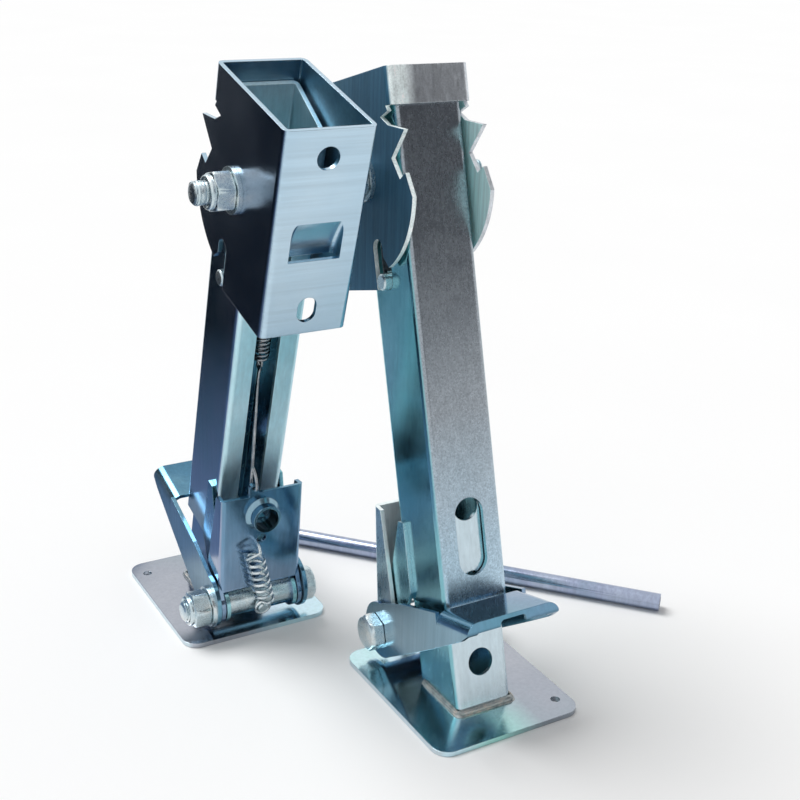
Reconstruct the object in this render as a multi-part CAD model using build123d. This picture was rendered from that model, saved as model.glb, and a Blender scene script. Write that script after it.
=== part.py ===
from build123d import *
from math import atan2, cos, degrees, hypot, pi, radians, sin
import os

# A pair of telescopic caravan stabilizer jacks and the loose lever bar that works them.
# Each jack is drawn upright in its leg frame: X across, Y deep, Z along the leg from the floor.
# The closed face of the leg looks to -Y, its open mouth and the lock plate to +Y.
# Lengths are millimetres and angles are degrees.

# Stance of the pair
lean = 15.6
pair_spacing_x = -92.7
pair_spacing_y = 218.0

# Sheet steel and fits
sheet = 3.0
bend_radius = 4.5
running_gap = 0.08
press_gap = 0.02
seat_gap = 0.3
side_play = 0.1

# Outer leg, a lipped channel
leg_width = 50.0
leg_depth = 53.0
leg_bottom = 71.0
leg_top_closed = 412.0
leg_top_open = 394.5
leg_mouth = 18.0
window_width = 22.0
window_bottom = 91.0
window_length = 53.0

# Inner leg, a plain channel with a row of holes
inner_side_gap = 0.5
inner_back_gap = 1.0
inner_front_gap = 0.8
inner_top_gap = 2.3
row_first = 29.6
row_pitch = 54.0
row_count = 5
row_hole_diameter = 19.0

# Foot
plate_width = 114.0
plate_length = 134.0
plate_thickness = 3.5
plate_corner = 12.0
plate_shift_x = 1.7
plate_shift_y = 12.3
plate_hole_diameter = 6.6
plate_hole_inset_x = 10.5
plate_hole_inset_y = 17.5
weld_leg = 2.8

# Bracket that bolts to the chassis
bracket_back_gap = 59.0
bracket_rise = 66.4
bracket_height = 139.6
bracket_side_gap = 2.4
band_height = 24.0
band_gap = 0.8
upper_hole_diameter = 15.0
upper_hole_drop = 18.5
tongue_width = 35.0
tongue_top = 61.0
tongue_height = 26.0
tongue_depth = 8.0
tongue_corner = 4.0
lower_hole_width = 13.0
lower_hole_height = 18.0
lower_hole_drop = 122.3

# Teeth and notches of the bracket's flanges, measured back from the pivot and up from it
arc_first_angle = 75.0
arc_last_angle = 19.0
arc_clearance = 1.0
upper_root_back = 39.5
upper_root_rise = 39.0
upper_gullet_back = 29.4
upper_gullet_rise = 36.4
upper_tip_back = 38.0
upper_tip_rise = 30.4
seat_lip_back = 12.0
seat_lip_rise = 17.2
seat_shoulder_back = 4.6
seat_shoulder_rise = 11.2
seat_floor_back = -7.5
seat_floor_rise = 1.6
seat_heel_back = 0.5
seat_heel_drop = 12.2
seat_toe_back = 8.0
seat_toe_drop = 8.8
hook_back = 17.7
hook_drop = 55.3
hook_root_drop = 52.3

# Swing pivot
pivot_y = 13.2
pivot_below_top = 53.2
pivot_z = leg_top_closed - pivot_below_top
pivot_sleeve_diameter = 20.0
pivot_bolt_tail = 9.0

# Bolts and nuts
bolt_diameter = 16.0
hex_across_flats = 24.0
bolt_head_height = 10.0
nut_height = 16.0
nut_collar_height = 3.2
washer_diameter = 30.0
washer_thickness = 3.0

# Latch bar that holds the swing
latch_diameter = 11.0
latch_back = 8.2
latch_drop = 68.0
latch_travel = 22.0
latch_overhang = 0.6
latch_side_gap = 0.7
latch_groove_width = 4.0
latch_groove_depth = 1.0
latch_slot_gap = 0.2

# Cross rods that anchor the springs
rod_diameter = 6.0
latch_rod_drop = 20.5
lock_rod_y = 18.0
lock_rod_drop = 64.8

# Axle of the lock plate and pedal
axle_y = 57.0
axle_z = 42.0
axle_tube_diameter = 20.0
axle_lobe_radius = 14.0
axle_bolt_tail = 3.0
axle_stud_diameter = 8.0
axle_stud_length = 6.0
cheek_root_y = 15.0
cheek_root_top = 126.0
cheek_root_rise = 5.0

# Lock plate
lock_side_play = 1.0
lock_top_y = 48.0
lock_top_z = 135.0
lock_foot_y = 62.0
lock_foot_z = 58.0
lock_flange_reach = 39.0
lock_flange_waist_y = 37.0
lock_flange_waist_z = 66.0
lock_step = 2.5
lug_width = 7.0
lug_height = 7.5
lug_offset = 7.0
lug_hole_diameter = 3.4
hook_hole_diameter = 7.0
hook_hole_z = 97.0

# Socket for the lever bar
socket_bore_diameter = 17.0
socket_wall = 2.0
socket_z = 117.0
socket_length_out = 9.0
socket_length_in = 6.0
socket_weld = 3.0

# Lock pin
pin_diameter = 16.0
pin_stem_diameter = 8.0
pin_nose_chamfer = 1.5
pin_tip_clearance = 0.7
pin_row = 1
guide_width = 30.0
guide_height = 26.0
guide_thickness = 7.0

# Pedal
ear_side_play = 1.0
ear_ring_radius = 20.5
ear_ring_shift_y = -5.0
ear_ring_shift_z = 1.5
ear_shoulder_y = 16.6
ear_shoulder_z = 70.0
ear_tip_bottom_y = -60.0
ear_tip_bottom_z = 61.5
ear_belly_y = -10.7
ear_belly_z = 43.5
ear_tip_fillet = 4.0
tread_z = 74.5
tread_back_y = -31.0
tread_front_y = -69.0
tread_bend = 9.0
apron_height = 7.5
apron_notch = 20.0
apron_corner = 3.0
strap_thickness = 2.5
strap_width = 9.0
strap_shift = -4.0

# Springs and link wire
lock_coil_diameter = 11.7
lock_coil_wire = 1.8
lock_coil_drop = 68.0
pedal_coil_diameter = 15.5
pedal_coil_wire = 2.4
pedal_coil_length = 41.0
latch_coil_diameter = 9.0
latch_coil_wire = 1.4
link_wire_diameter = 2.2
link_drop = 12.0
link_offset = 4.5
link_hook_rise = 6.0
link_bend = 1.6
coil_ridges = 7

# Lever bar
bar_diameter = 13.6
bar_bore_diameter = 9.6
bar_length = 325.0
bar_start_x = 196.8
bar_start_y = 27.1
bar_heading = 132.3

# Sizes that follow from those above
bracket_inner = leg_width / 2 + bracket_side_gap
bracket_outer = bracket_inner + sheet
bracket_back = pivot_y + bracket_back_gap
bracket_top = pivot_z + bracket_rise
band_inner = -leg_depth / 2 - band_gap
inner_width = leg_width - 2 * sheet - 2 * inner_side_gap
inner_back = -leg_depth / 2 + sheet + inner_back_gap
inner_front = leg_depth / 2 - sheet - inner_front_gap
latch_radius = latch_diameter / 2
lock_rod_z = pivot_z - lock_rod_drop
lock_coil_bottom = lock_rod_z - lock_coil_drop
inner_top = pivot_z - latch_drop - latch_radius - inner_top_gap
latch_half_length = bracket_outer + latch_overhang
arc_radius = hypot(latch_back, latch_drop) - latch_radius - arc_clearance
cheek_outer = leg_width / 2 + sheet
lock_inner = cheek_outer + lock_side_play
lock_outer = lock_inner + sheet
ear_inner = lock_outer + ear_side_play
ear_outer = ear_inner + sheet
pin_z = row_first + pin_row * row_pitch
ear_ring_y = axle_y + ear_ring_shift_y
ear_ring_z = axle_z + ear_ring_shift_z
everything = 1000.0


def side_face(*outline):
    # A face in the plane of the leg's side, from a closed chain of edges
    return Plane.YZ * make_face(outline)


def across(face, half_width):
    # The face carried equally far to both sides
    return extrude(face, half_width, both=True)


def cross_rod(radius, start, end, y, z):
    # A round rod across the leg, between two distances from its middle
    middle = (start + end) / 2
    return Pos(middle, y, z) * Rot(Y=90) * Cylinder(radius, end - start)


def deep_rod(radius, start, end, x, z):
    # A round rod along the depth of the leg
    middle = (start + end) / 2
    return Pos(x, middle, z) * Rot(X=90) * Cylinder(radius, end - start)


def block(x_range, y_range, z_range):
    # A box between two limits in each direction
    ranges = (x_range, y_range, z_range)
    centre = [(low + high) / 2 for low, high in ranges]
    return Pos(*centre) * Box(*[high - low for low, high in ranges])


def upright_edges(solid, x, y):
    # The edges along the leg that stand at this place, on both sides of the middle
    found = []
    for edge in solid.edges().filter_by(Axis.Z):
        centre = edge.center()
        if abs(abs(centre.X) - x) < 0.01 and abs(centre.Y - y) < 0.01:
            found.append(edge)
    return found


def hexagon(height, chamfered_end):
    # A hexagon prism from zero upwards, with the turned chamfer of a bolt or nut
    corner_radius = hex_across_flats / 2 / cos(pi / 6)
    chamfer_size = corner_radius - hex_across_flats / 2
    prism = extrude(RegularPolygon(corner_radius, 6), height)
    turned = Pos(Z=height / 2) * Cylinder(corner_radius, height)
    end = turned.edges().group_by(Axis.Z)[-1 if chamfered_end else 0]
    return prism & chamfer(end, chamfer_size, chamfer_size * 1.4)


def outer_leg_section():
    # A lipped channel with its mouth towards +Y
    outside = RectangleRounded(leg_width, leg_depth, bend_radius)
    inside = RectangleRounded(leg_width - 2 * sheet, leg_depth - 2 * sheet, bend_radius - sheet)
    mouth = Pos(Y=leg_depth / 2) * Rectangle(leg_mouth, 4 * sheet)
    return outside - inside - mouth


def outer_leg():
    # The tube that swings on the pivot, cut off at a slant at its top
    height = leg_top_closed - leg_bottom
    leg = Pos(Z=leg_bottom) * extrude(outer_leg_section(), height)
    slant = side_face(
        Polyline(
            (-leg_depth / 2, leg_top_closed),
            (leg_depth / 2, leg_top_open),
            (leg_depth / 2, everything),
            (-leg_depth / 2, everything),
            close=True,
        )
    )
    leg -= across(slant, leg_width)
    window = Plane.XZ * Pos(0, window_bottom + window_length / 2) * SlotOverall(
        window_length, window_width, rotation=90
    )
    leg -= Pos(Y=-leg_depth / 2) * extrude(window, 2 * sheet, both=True)
    sleeve_hole = pivot_sleeve_diameter / 2 + running_gap
    leg -= cross_rod(sleeve_hole, -leg_width, leg_width, pivot_y, pivot_z)
    leg -= latch_slot()
    for y, z in rod_places():
        leg -= cross_rod(rod_diameter / 2 + press_gap, -leg_width, leg_width, y, z)
    return leg


def latch_place():
    # Where the released latch bar lies
    return pivot_y - latch_back, pivot_z - latch_drop


def latch_slot():
    # The slot in both side walls that the latch bar rides in
    y, z = latch_place()
    radius = latch_radius + latch_slot_gap
    low_end = cross_rod(radius, -leg_width, leg_width, y, z)
    high_end = cross_rod(radius, -leg_width, leg_width, y, z + latch_travel)
    middle = block((-leg_width, leg_width), (y - radius, y + radius), (z, z + latch_travel))
    return low_end + high_end + middle


def rod_places():
    # The cross rods over the latch bar and over the lock spring
    latch_y, _ = latch_place()
    return (latch_y, pivot_z - latch_rod_drop), (lock_rod_y, lock_rod_z)


def spring_rods():
    half = leg_width / 2
    rods = [cross_rod(rod_diameter / 2, -half, half, y, z) for y, z in rod_places()]
    return rods[0] + rods[1]


def flange_point(back, drop):
    # A point of the flange, from its distance behind the pivot and below it
    return pivot_y - back, pivot_z - drop


def arc_point(angle):
    # A point of the swing arc, at this angle from straight below the pivot
    turn = radians(angle)
    return flange_point(arc_radius * sin(turn), arc_radius * cos(turn))


def seat_point(back, drop):
    # A point of the raised notch, from the engaged latch bar when the leg is folded up
    engaged = latch_drop - latch_travel
    return flange_point(engaged + back, drop - latch_back)


def bracket_outline():
    # The side of the bracket: straight back, relief notch, two hooked teeth, swing arc and latch slot
    low = bracket_top - bracket_height
    band_side = band_inner + bend_radius
    arc_middle_angle = (arc_first_angle + arc_last_angle) / 2
    arc_start = arc_point(arc_first_angle)
    arc_end = arc_point(arc_last_angle)
    teeth = Polyline(
        (bracket_back, low),
        (bracket_back, bracket_top),
        (band_side, bracket_top),
        (band_side, bracket_top - band_height + sheet),
        flange_point(upper_root_back, -upper_root_rise),
        flange_point(upper_gullet_back, -upper_gullet_rise),
        flange_point(upper_tip_back, -upper_tip_rise),
        seat_point(seat_lip_back, -seat_lip_rise),
        seat_point(seat_shoulder_back, -seat_shoulder_rise),
        seat_point(seat_floor_back, -seat_floor_rise),
        seat_point(seat_heel_back, seat_heel_drop),
        seat_point(seat_toe_back, seat_toe_drop),
        arc_start,
    )
    arc = ThreePointArc(arc_start, arc_point(arc_middle_angle), arc_end)
    slot_half = latch_radius + latch_side_gap
    slot_web, slot_hook = latch_back - slot_half, latch_back + slot_half
    engaged = latch_drop - latch_travel
    hook = Polyline(arc_end, flange_point(hook_back, hook_drop), flange_point(slot_hook, hook_root_drop))
    hook_side = Line(hook @ 1, flange_point(slot_hook, engaged))
    slot_top = ThreePointArc(
        hook_side @ 1, flange_point(latch_back, engaged - slot_half), flange_point(slot_web, engaged)
    )
    foot = Polyline(slot_top @ 1, (flange_point(slot_web, 0)[0], low), (bracket_back, low))
    return side_face(teeth, arc, hook, hook_side, slot_top, foot)


def bracket_loop():
    # The section of the top of the bracket, a closed loop round the leg
    band_outer = band_inner - sheet
    depth = bracket_back - band_outer
    outside = RectangleRounded(2 * bracket_outer, depth, bend_radius)
    inside = RectangleRounded(2 * bracket_inner, depth - 2 * sheet, bend_radius - sheet)
    return Pos(Y=(bracket_back + band_outer) / 2) * (outside - inside)


def bracket():
    # One folded sheet: back web, two toothed flanges and the band round the closed face
    body = across(bracket_outline(), bracket_outer)
    web_inner = bracket_back - sheet
    body -= block((-bracket_inner, bracket_inner), (-everything, web_inner), (0, everything))
    body = fillet(upright_edges(body, bracket_outer, bracket_back), bend_radius)
    body = fillet(upright_edges(body, bracket_inner, web_inner), bend_radius - sheet)
    body += Pos(Z=bracket_top - band_height) * extrude(bracket_loop(), band_height)
    through = (web_inner - sheet, bracket_back + sheet)
    body -= deep_rod(upper_hole_diameter / 2, *through, 0, bracket_top - upper_hole_drop)
    lower_hole = Plane.XZ * Pos(0, bracket_top - lower_hole_drop) * SlotOverall(
        lower_hole_height, lower_hole_width, rotation=90
    )
    body -= Pos(Y=web_inner) * extrude(lower_hole, 2 * sheet, both=True)
    body -= cross_rod(bolt_diameter / 2 + running_gap, -everything, everything, pivot_y, pivot_z)
    return pressed_tongue(body)


def scoop(half_width, depth, top, corner):
    # A rounded wedge under the back web that deepens from its top to its open foot
    bottom = bracket_top - tongue_top - tongue_height
    outer = bracket_back + sheet
    deepest = bracket_back - depth
    crown = ThreePointArc(
        (bracket_back, top), (bracket_back - depth * 0.72, bottom + (top - bottom) * 0.45), (deepest, bottom)
    )
    rest = Polyline((deepest, bottom), (outer, bottom), (outer, top), (bracket_back, top))
    wedge = across(side_face(crown, rest), half_width)
    along = [
        edge
        for edge in wedge.edges()
        if abs(abs(edge.center().X) - half_width) < 0.01 and edge.geom_type == GeomType.CIRCLE
    ]
    return fillet(along, corner)


def pressed_tongue(body):
    # The scoop pressed inwards out of the web, closed at its top and sides and open at its foot
    top = bracket_top - tongue_top
    half = tongue_width / 2
    pocket = scoop(half, tongue_depth, top, tongue_corner)
    skin = scoop(half + sheet * 0.8, tongue_depth + sheet, top + sheet * 0.4, tongue_corner + sheet * 0.8)
    skin &= block((-everything, everything), (0, bracket_back - sheet / 2), (0, everything))
    return body + skin - pocket


def bolt(y, z, seat, far_seat, tail):
    # A hexagon bolt across the leg, its head on the -X side
    head = Pos(-seat, y, z) * Rot(Y=-90) * hexagon(bolt_head_height, True)
    length_end = far_seat + nut_height + tail
    shank = cross_rod(bolt_diameter / 2, -seat, length_end, y, z)
    return head + chamfer(shank.edges().group_by(Axis.X)[-1], 1.2)


def lock_nut(y, z, seat):
    # A nut with a round locking collar on its outer end
    hexagon_height = nut_height - nut_collar_height
    nut = hexagon(hexagon_height, False)
    collar_radius = hex_across_flats / 2 - 0.6
    collar = Pos(Z=hexagon_height + nut_collar_height / 2) * Cylinder(collar_radius, nut_collar_height)
    nut += fillet(collar.edges().group_by(Axis.Z)[-1], nut_collar_height * 0.6)
    nut -= Cylinder(bolt_diameter / 2 + press_gap, 4 * nut_height)
    return Pos(seat, y, z) * Rot(Y=90) * nut


def washer(bore, start, thickness, y, z):
    ring = cross_rod(washer_diameter / 2, start, start + thickness, y, z)
    return ring - cross_rod(bore / 2, -everything, everything, y, z)


def pivot_bolt():
    seat = bracket_outer + washer_thickness
    return bolt(pivot_y, pivot_z, seat, seat, pivot_bolt_tail)


def pivot_nut():
    return lock_nut(pivot_y, pivot_z, bracket_outer + washer_thickness)


def pivot_washers():
    # One washer outside each flange, and one between each flange and the leg
    bolt_bore = bolt_diameter + 1.0
    sleeve_bore = pivot_sleeve_diameter + 2 * running_gap
    thrust = bracket_side_gap - side_play
    washers = washer(bolt_bore, bracket_outer, washer_thickness, pivot_y, pivot_z)
    washers += washer(bolt_bore, -bracket_outer - washer_thickness, washer_thickness, pivot_y, pivot_z)
    washers += washer(sleeve_bore, bracket_inner - thrust, thrust, pivot_y, pivot_z)
    return washers + washer(sleeve_bore, -bracket_inner, thrust, pivot_y, pivot_z)


def pivot_sleeve():
    # The spacer that the bolt clamps between the flanges and the leg turns on
    tube = cross_rod(pivot_sleeve_diameter / 2, -bracket_inner, bracket_inner, pivot_y, pivot_z)
    bore = bolt_diameter / 2 + running_gap
    return tube - cross_rod(bore, -everything, everything, pivot_y, pivot_z)


def latch_bar():
    # A round bar with a groove for its spring in the middle
    y, z = latch_place()
    bar = cross_rod(latch_radius, -latch_half_length, latch_half_length, y, z)
    bar = chamfer(bar.edges().filter_by(GeomType.CIRCLE), 1.0)
    half_groove = latch_groove_width / 2
    groove = cross_rod(latch_radius + 1, -half_groove, half_groove, y, z)
    groove -= cross_rod(latch_radius - latch_groove_depth, -half_groove, half_groove, y, z)
    return bar - groove


def coil(diameter, wire, start, end, ridges=coil_ridges):
    # The closed shape of a coil spring between two points in the middle plane, its first end shut
    span_y, span_z = end[0] - start[0], end[1] - start[1]
    length = hypot(span_y, span_z)
    pitch = length / ridges
    outer = diameter / 2
    zigzag = [(outer - wire / 2, 0)]
    for turn in range(ridges):
        zigzag += [(outer, (turn + 0.5) * pitch), (outer - wire / 2, (turn + 1) * pitch)]
    bore = outer - wire
    profile = Polyline(*zigzag, (bore, length), (bore, wire), (0, wire), (0, 0), close=True)
    body = revolve(Plane.XZ * make_face(profile), Axis.Z)
    tilt = degrees(atan2(span_y, span_z))
    return Pos(0, *start) * Rot(X=-tilt) * body


def latch_spring():
    # From the latch bar up to the rod under the pivot
    y, z = latch_place()
    upper = rod_places()[0]
    start = (y, z + latch_radius + seat_gap)
    end = (upper[0], upper[1] - rod_diameter / 2 - seat_gap)
    return coil(latch_coil_diameter, latch_coil_wire, start, end)


def lock_spring():
    # In the mouth of the leg, hung from the lower rod
    start = (lock_rod_y, lock_coil_bottom)
    end = (lock_rod_y, lock_rod_z - rod_diameter / 2 - seat_gap)
    return coil(lock_coil_diameter, lock_coil_wire, start, end)


def web_direction():
    # Unit vector up the lock plate's web, in the middle plane
    rise_y, rise_z = lock_top_y - lock_foot_y, lock_top_z - lock_foot_z
    length = hypot(rise_y, rise_z)
    return rise_y / length, rise_z / length


def web_point(z, depth=0.0):
    # The point of the web's outer face at this height, or this far inside it
    up_y, up_z = web_direction()
    y = lock_foot_y + (z - lock_foot_z) * up_y / up_z
    return y - depth * up_z, z + depth * up_y


def web_plane(z):
    # A plane on the web's outer face, its normal outwards and its Y up the web
    up_y, up_z = web_direction()
    return Plane(origin=(0, *web_point(z)), x_dir=(-1, 0, 0), z_dir=(0, up_z, -up_y))


def lug_hole_place():
    # The middle of the lug's hole, halfway through the sheet
    middle = web_plane(lock_top_z).from_local_coords((-lug_offset, lug_height - lug_width / 2, -sheet / 2))
    return middle


def link_wire():
    # From the lock spring down to the lug, hooked through its hole
    lug = lug_hole_place()
    radius = link_wire_diameter / 2
    path = FilletPolyline(
        (0, lock_rod_y, lock_coil_bottom - seat_gap),
        (0, lock_rod_y + link_wire_diameter / 2, lock_coil_bottom - link_drop),
        (lug.X, lug.Y - link_offset, lug.Z + link_hook_rise),
        (lug.X, lug.Y - link_offset, lug.Z),
        (lug.X, lug.Y + link_offset, lug.Z),
        radius=link_bend,
    )
    return sweep(Plane(path @ 0, z_dir=path % 0) * Circle(radius), path)


def lobe(outline, radius):
    # A side plate's face joined to the round lobe about the axle
    ring = Plane.YZ * Pos(axle_y, axle_z) * Circle(radius)
    return outline + ring


def leg_cheeks():
    # Two plates welded to the leg's sides that carry the axle
    low = leg_bottom + cheek_root_rise
    corner = leg_depth / 2 - bend_radius
    face = side_face(
        Polyline(
            (cheek_root_y, cheek_root_top),
            (corner, cheek_root_top),
            (axle_y - axle_lobe_radius * 0.2, axle_z + axle_lobe_radius * 0.98),
            (axle_y - axle_lobe_radius * 0.7, axle_z - axle_lobe_radius * 0.714),
            (cheek_root_y, low),
            close=True,
        )
    )
    face = lobe(face, axle_lobe_radius)
    hole = cross_rod(axle_tube_diameter / 2 + running_gap, -everything, everything, axle_y, axle_z)
    plate = extrude(face, sheet) - hole
    return Pos(X=-cheek_outer) * plate + Pos(X=leg_width / 2) * plate


def axle_bolt():
    return bolt(axle_y, axle_z, ear_outer, ear_outer + washer_thickness, axle_bolt_tail)


def axle_nut():
    return lock_nut(axle_y, axle_z, ear_outer + washer_thickness)


def axle_washer():
    return washer(bolt_diameter + 1.0, ear_outer, washer_thickness, axle_y, axle_z)


def pedal_tube():
    # The tube between the pedal's ears that everything turns on, with a stud for the spring
    radius = axle_tube_diameter / 2
    tube = cross_rod(radius, -ear_inner, ear_inner, axle_y, axle_z)
    stud_end = axle_y + radius + axle_stud_length
    stud = deep_rod(axle_stud_diameter / 2, axle_y, stud_end, 0, axle_z)
    stud = chamfer(stud.edges().group_by(Axis.Y)[-1], 0.8)
    bore = cross_rod(bolt_diameter / 2 + running_gap, -everything, everything, axle_y, axle_z)
    return tube + stud - bore


def lock_plate_outline():
    # The side of the lock plate, down to the lobe about the axle
    return lobe(
        side_face(
            Polyline(
                (lock_flange_reach, lock_top_z - sheet),
                (lock_top_y, lock_top_z),
                (lock_foot_y, lock_foot_z),
                (axle_y + axle_lobe_radius * 0.94, axle_z + axle_lobe_radius * 0.34),
                (axle_y - axle_lobe_radius * 0.94, axle_z - axle_lobe_radius * 0.34),
                (lock_flange_waist_y, lock_flange_waist_z),
                close=True,
            )
        ),
        axle_lobe_radius,
    )


def lock_plate():
    # A folded plate that rocks on the axle: web, two flanges and a lug for the link wire
    body = across(lock_plate_outline(), lock_outer)
    inner_foot, inner_top_point = web_point(lock_foot_z, sheet), web_point(2 * lock_top_z, sheet)
    inside = side_face(
        Polyline(
            (-everything, 0),
            (everything, 0),
            (everything, inner_foot[1]),
            inner_foot,
            inner_top_point,
            (-everything, inner_top_point[1]),
            close=True,
        )
    )
    body -= across(inside, lock_inner)
    web_edges = []
    for edge in body.edges():
        centre = edge.center()
        on_web = abs(centre.Y - web_point(centre.Z)[0]) < 0.05
        if abs(abs(centre.X) - lock_outer) < 0.01 and on_web and lock_foot_z < centre.Z < lock_top_z:
            web_edges.append(edge)
    body = fillet(web_edges, bend_radius - 1.0)
    top = web_plane(lock_top_z)
    step = Pos(-lock_outer / 2 - lug_offset / 2 - lug_width / 4, 0) * Rectangle(
        lock_outer - lug_offset - lug_width / 2, 2 * lock_step
    )
    body -= extrude(top * step, -everything / 10, both=True)
    rise = lug_height - lug_width / 2
    lug = Pos(-lug_offset, rise / 2 - lock_step / 2) * Rectangle(lug_width, rise + lock_step)
    lug += Pos(-lug_offset, rise) * Circle(lug_width / 2)
    lug -= Pos(-lug_offset, rise) * Circle(lug_hole_diameter / 2)
    body += extrude(top * lug, -sheet)
    socket_hole = socket_bore_diameter / 2 + socket_wall + press_gap
    body -= extrude(web_plane(socket_z) * Circle(socket_hole), 2 * sheet, both=True)
    body -= extrude(web_plane(hook_hole_z) * Circle(hook_hole_diameter / 2), 2 * sheet, both=True)
    body -= cross_rod(axle_tube_diameter / 2 + running_gap, -everything, everything, axle_y, axle_z)
    return body


def bar_socket():
    # The short tube that takes the lever bar, welded into the lock plate
    outer = socket_bore_diameter / 2 + socket_wall
    profile = Polyline(
        (socket_bore_diameter / 2, -socket_length_in),
        (outer, -socket_length_in),
        (outer, 0),
        (outer + socket_weld, 0),
        (outer, socket_weld),
        (outer, socket_length_out),
        (socket_bore_diameter / 2, socket_length_out),
        close=True,
    )
    body = revolve(Plane.XZ * make_face(profile), Axis.Z)
    return web_plane(socket_z).location * body


def pin_tip():
    # The nose of the withdrawn lock pin, just clear of the inner leg's web
    return inner_back + sheet + pin_tip_clearance


def pin_end():
    # The tail of the lock pin, just clear of the lock plate's web
    return web_point(pin_z + pin_stem_diameter / 2, sheet)[0] - seat_gap


def lock_pin():
    # A stepped pin: nose in the guide, thin stem back to the lock plate
    shoulder = leg_depth / 2 + guide_thickness + seat_gap
    nose = deep_rod(pin_diameter / 2, pin_tip(), shoulder, 0, pin_z)
    nose = chamfer(nose.edges().group_by(Axis.Y)[0], pin_nose_chamfer)
    return nose + deep_rod(pin_stem_diameter / 2, shoulder, pin_end(), 0, pin_z)


def pin_guide():
    # The block across the leg's lips that the lock pin slides in
    half_width, half_height = guide_width / 2, guide_height / 2
    lips = leg_depth / 2
    body = block((-half_width, half_width), (lips, lips + guide_thickness), (pin_z - half_height, pin_z + half_height))
    body = chamfer(body.edges().filter_by(Axis.Y), 3.0)
    return body - deep_rod(pin_diameter / 2 + running_gap, 0, everything, 0, pin_z)


def ear_outline():
    # The side of the pedal: a ring about the axle that tapers forward to the tread's tip
    ring_top = (ear_ring_y - ear_ring_radius * 0.17, ear_ring_z + ear_ring_radius * 0.985)
    ring_bottom = (ear_ring_y - ear_ring_radius * 0.45, ear_ring_z - ear_ring_radius * 0.893)
    tip_bottom = (ear_tip_bottom_y, ear_tip_bottom_z)
    top = Polyline(
        ring_bottom,
        ring_top,
        (ear_shoulder_y, ear_shoulder_z),
        (tread_back_y, tread_z),
        (tread_front_y, tread_z),
        (tread_front_y, tread_z - apron_height),
        tip_bottom,
    )
    belly = ThreePointArc(tip_bottom, (ear_belly_y, ear_belly_z), ring_bottom)
    face = make_face((top, belly))
    tips = [vertex for vertex in face.vertices() if vertex.X < ear_tip_bottom_y + 1 and vertex.Y < tread_z - 1]
    face = fillet(tips, ear_tip_fillet)
    return Plane.YZ * (face + Pos(ear_ring_y, ear_ring_z) * Circle(ear_ring_radius))


def tread_channel(half_width, bend, top, front):
    # A long block with its two upper edges rounded, from the tread's back edge to this far forward
    section = Pos(0, top - everything / 2) * RectangleRounded(2 * half_width, everything, bend)
    start = Plane(origin=(0, tread_back_y, 0), x_dir=(1, 0, 0), z_dir=(0, -1, 0))
    return extrude(start * section, tread_back_y - front)


def pedal():
    # A folded channel: two ears, the tread in front of the leg with its apron, and a strap under the axle
    whole = across(ear_outline(), ear_outer)
    folded = whole & tread_channel(ear_outer, tread_bend, tread_z, tread_front_y)
    folded -= tread_channel(ear_inner, tread_bend - sheet, tread_z - sheet, tread_front_y + sheet)
    behind = block((-everything, everything), (tread_back_y, everything), (0, everything))
    ears = (whole & behind) - block((-ear_inner, ear_inner), (-everything, everything), (0, everything))
    apron_low = tread_z - apron_height
    apron_flat = ear_inner - tread_bend + sheet
    folded -= block((-apron_flat, apron_flat), (-everything, tread_front_y + sheet), (0, apron_low))
    notch = Pos(0, apron_low) * RectangleRounded(apron_notch, 2 * (apron_height - sheet), apron_corner)
    folded -= Pos(Y=tread_front_y) * extrude(Plane.XZ * notch, 2 * sheet, both=True)
    strap_radius = ear_ring_radius - 1.0
    strap_ring = Circle(strap_radius) - Circle(strap_radius - strap_thickness)
    strap_ring &= Pos(strap_shift, -strap_radius) * Rectangle(2 * strap_width, strap_width)
    strap = across(Plane.YZ * Pos(ear_ring_y, ear_ring_z) * strap_ring, ear_inner)
    body = folded + ears + strap
    return body - cross_rod(bolt_diameter / 2 + running_gap, -everything, everything, axle_y, axle_z)


def pedal_spring():
    # From the lock plate's hook hole down to the stud on the pedal's tube
    radius = pedal_coil_diameter / 2
    stud_y = axle_y + axle_tube_diameter / 2 + axle_stud_length / 2
    up_y, up_z = web_direction()
    end = (stud_y + pedal_coil_wire, axle_z + axle_stud_diameter / 2 + radius / 2)
    top_y, top_z = web_point(end[1] + pedal_coil_length)
    start = (top_y + (radius + seat_gap) * up_z, top_z - (radius + seat_gap) * up_y)
    return coil(pedal_coil_diameter, pedal_coil_wire, end, start)


def inner_leg():
    # The channel that slides in the outer leg, its foot cut to the slope of the floor
    depth = inner_front - inner_back
    section = Pos(Y=(inner_front + inner_back) / 2) * Rectangle(inner_width, depth)
    section = fillet(section.vertices().group_by(Axis.Y)[0], bend_radius - 0.5)
    hollow = Pos(Y=(inner_front + inner_back) / 2 + sheet) * Rectangle(inner_width - 2 * sheet, depth)
    section -= fillet(hollow.vertices().group_by(Axis.Y)[0], bend_radius - 0.5 - sheet)
    leg = Pos(Z=-plate_length / 4) * extrude(section, inner_top + plate_length / 4)
    for hole in range(row_count):
        z = row_first + hole * row_pitch
        leg -= deep_rod(row_hole_diameter / 2, inner_back - sheet, inner_back + 2 * sheet, 0, z)
    return leg - lean_back(block((-everything, everything), (-everything, everything), (-everything, plate_thickness)))


def foot_plate():
    # A flat plate with rounded corners and one small hole near a corner
    plate = extrude(RectangleRounded(plate_width, plate_length, plate_corner), plate_thickness)
    hole_x = plate_width / 2 - plate_hole_inset_x
    hole_y = -plate_length / 2 + plate_hole_inset_y
    plate -= Pos(hole_x, hole_y) * Cylinder(plate_hole_diameter / 2, 4 * plate_thickness)
    return lean_back(Pos(plate_shift_x, plate_shift_y) * plate)


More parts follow.
